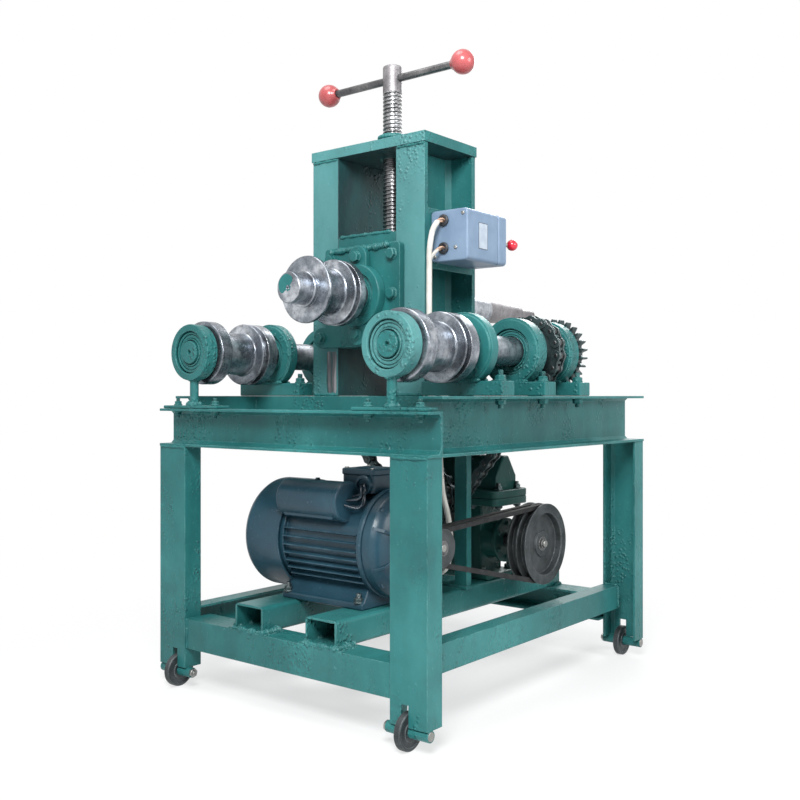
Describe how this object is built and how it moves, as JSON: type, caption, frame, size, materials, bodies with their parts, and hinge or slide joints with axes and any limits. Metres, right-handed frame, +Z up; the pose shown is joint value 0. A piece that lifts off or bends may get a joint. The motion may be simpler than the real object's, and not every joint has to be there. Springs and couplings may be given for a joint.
{
  "type": "electric pipe bending machine",
  "caption": "Roller pipe bender on a wheeled steel table: a hand screw sets the upper roller, and a motor drives the lower rollers through belts, a worm gear and chains.",
  "frame": {"origin": "on the floor under the middle of the machine's box, cable included", "axes": "+Z up, -Y the front where the bending rollers are, +Y the back, +X the side of the switch box"},
  "size_m": [0.68, 0.893, 1.263],
  "materials": {
    "green_enamel": "glossy teal green machine enamel",
    "turned_steel": "turned bare steel, lightly oiled",
    "oiled_steel": "dark oiled steel",
    "cast_iron": "rough casting, dark paint",
    "navy_paint": "dark blue motor paint",
    "belt_rubber": "matte black rubber",
    "fan_plastic": "matte moulded plastic",
    "coral_plastic": "glossy coral red",
    "lever_red": "glossy red",
    "box_paint": "satin light blue grey",
    "white_pvc": "satin white sheath"
  },
  "bodies": {
    "frame": {"front_beam": "green_enamel", "table_frame": "green_enamel", "lower_frame": "green_enamel", "left_column": "green_enamel", "right_column": "green_enamel", "top_plate": "green_enamel", "screw_nut": "cast_iron", "left_front_housing": "green_enamel", "right_front_housing": "green_enamel", "left_first_block": "green_enamel", "right_first_block": "green_enamel", "left_second_block": "green_enamel", "right_second_block": "green_enamel", "left_third_block": "green_enamel", "right_third_block": "green_enamel", "left_chain": "oiled_steel", "right_chain": "oiled_steel", "reducer_case": "cast_iron", "reducer_cover": "cast_iron", "outer_belt": "belt_rubber", "inner_belt": "belt_rubber", "motor_shell": "navy_paint", "motor_end_bell": "navy_paint", "fan_cover": "navy_paint", "terminal_box": "navy_paint", "start_capacitor": "navy_paint", "switch_box": "box_paint", "motor_cable": "white_pvc"},
    "carriage": {"carriage_block": "green_enamel", "carriage_front_plate": "green_enamel", "carriage_rear_plate": "green_enamel", "front_bearing_flange": "green_enamel", "rear_bearing_flange": "green_enamel"},
    "screw": {"lift_screw": "turned_steel"},
    "handle": {"tommy_bar": "turned_steel", "left_knob": "coral_plastic", "right_knob": "coral_plastic"},
    "upper_drive": {"upper_shaft": "turned_steel", "upper_roller": "turned_steel"},
    "left_drive": {"left_shaft": "turned_steel", "left_roller": "turned_steel", "left_sprocket": "oiled_steel"},
    "right_drive": {"right_shaft": "turned_steel", "right_roller": "turned_steel", "right_sprocket": "oiled_steel", "spare_sprocket": "oiled_steel", "right_end_disc": "oiled_steel"},
    "output": {"output_shaft": "turned_steel", "output_sprocket": "oiled_steel"},
    "worm": {"worm_shaft": "turned_steel", "big_pulley": "cast_iron"},
    "motor": {"motor_shaft": "turned_steel", "motor_pulley": "cast_iron", "cooling_fan": "fan_plastic"},
    "lever": {"switch_lever": "lever_red"},
    "front_left": {"front_left_wheel": "turned_steel"},
    "front_right": {"front_right_wheel": "turned_steel"},
    "rear_left": {"rear_left_wheel": "turned_steel"},
    "rear_right": {"rear_right_wheel": "turned_steel"}
  },
  "joints": [
    {"name": "carriage_slide", "type": "slide", "parent": "frame", "child": "carriage", "axis": [0, 0, 1], "range_m": [-0.0651, 0.1501]},
    {"name": "screw_turn", "type": "hinge", "parent": "carriage", "child": "screw", "pos_m": [0, -0.0965, 1.078], "axis": [0, 0, 1], "range_deg": [-2925, 6750]},
    {"name": "tommy_bar_slide", "type": "slide", "parent": "screw", "child": "handle", "axis": [1, 0, 0], "range_m": [-0.13, 0.13]},
    {"name": "upper_shaft_spin", "type": "hinge", "parent": "carriage", "child": "upper_drive", "pos_m": [0, -0.3025, 0.7766], "axis": [0, 1, 0], "continuous": true},
    {"name": "right_shaft_spin", "type": "hinge", "parent": "frame", "child": "right_drive", "pos_m": [0.252, -0.3025, 0.664], "axis": [0, 1, 0], "continuous": true, "deforming": ["right_chain", "left_chain"]},
    {"name": "left_shaft_spin", "type": "hinge", "parent": "frame", "child": "left_drive", "pos_m": [-0.252, -0.3025, 0.664], "axis": [0, 1, 0], "continuous": true},
    {"name": "output_spin", "type": "hinge", "parent": "frame", "child": "output", "pos_m": [0, 0.0195, 0.36152], "axis": [0, 1, 0], "continuous": true},
    {"name": "worm_spin", "type": "hinge", "parent": "frame", "child": "worm", "pos_m": [0, 0.1215, 0.269], "axis": [1, 0, 0], "continuous": true},
    {"name": "motor_spin", "type": "hinge", "parent": "frame", "child": "motor", "pos_m": [0, -0.2395, 0.303], "axis": [1, 0, 0], "continuous": true},
    {"name": "front_left_spin", "type": "hinge", "parent": "frame", "child": "front_left", "pos_m": [-0.292, -0.4145, 0.032], "axis": [1, 0, 0], "continuous": true},
    {"name": "front_right_spin", "type": "hinge", "parent": "frame", "child": "front_right", "pos_m": [0.292, -0.4145, 0.032], "axis": [1, 0, 0], "continuous": true},
    {"name": "rear_left_spin", "type": "hinge", "parent": "frame", "child": "rear_left", "pos_m": [-0.292, 0.3585, 0.032], "axis": [1, 0, 0], "continuous": true},
    {"name": "rear_right_spin", "type": "hinge", "parent": "frame", "child": "rear_right", "pos_m": [0.292, 0.3585, 0.032], "axis": [1, 0, 0], "continuous": true},
    {"name": "switch_turn", "type": "hinge", "parent": "frame", "child": "lever", "pos_m": [0.189, -0.0245, 0.883], "axis": [0, 1, 0], "range_deg": [-45, 45]}
  ],
  "couplings": [
    {"joint": "carriage_slide", "follows": "screw_turn", "m_per_rad": 0.0012732},
    {"joint": "left_shaft_spin", "follows": "right_shaft_spin", "ratio": 1},
    {"joint": "output_spin", "follows": "right_shaft_spin", "ratio": 1},
    {"joint": "worm_spin", "follows": "right_shaft_spin", "ratio": 30},
    {"joint": "motor_spin", "follows": "right_shaft_spin", "ratio": 72}
  ]
}
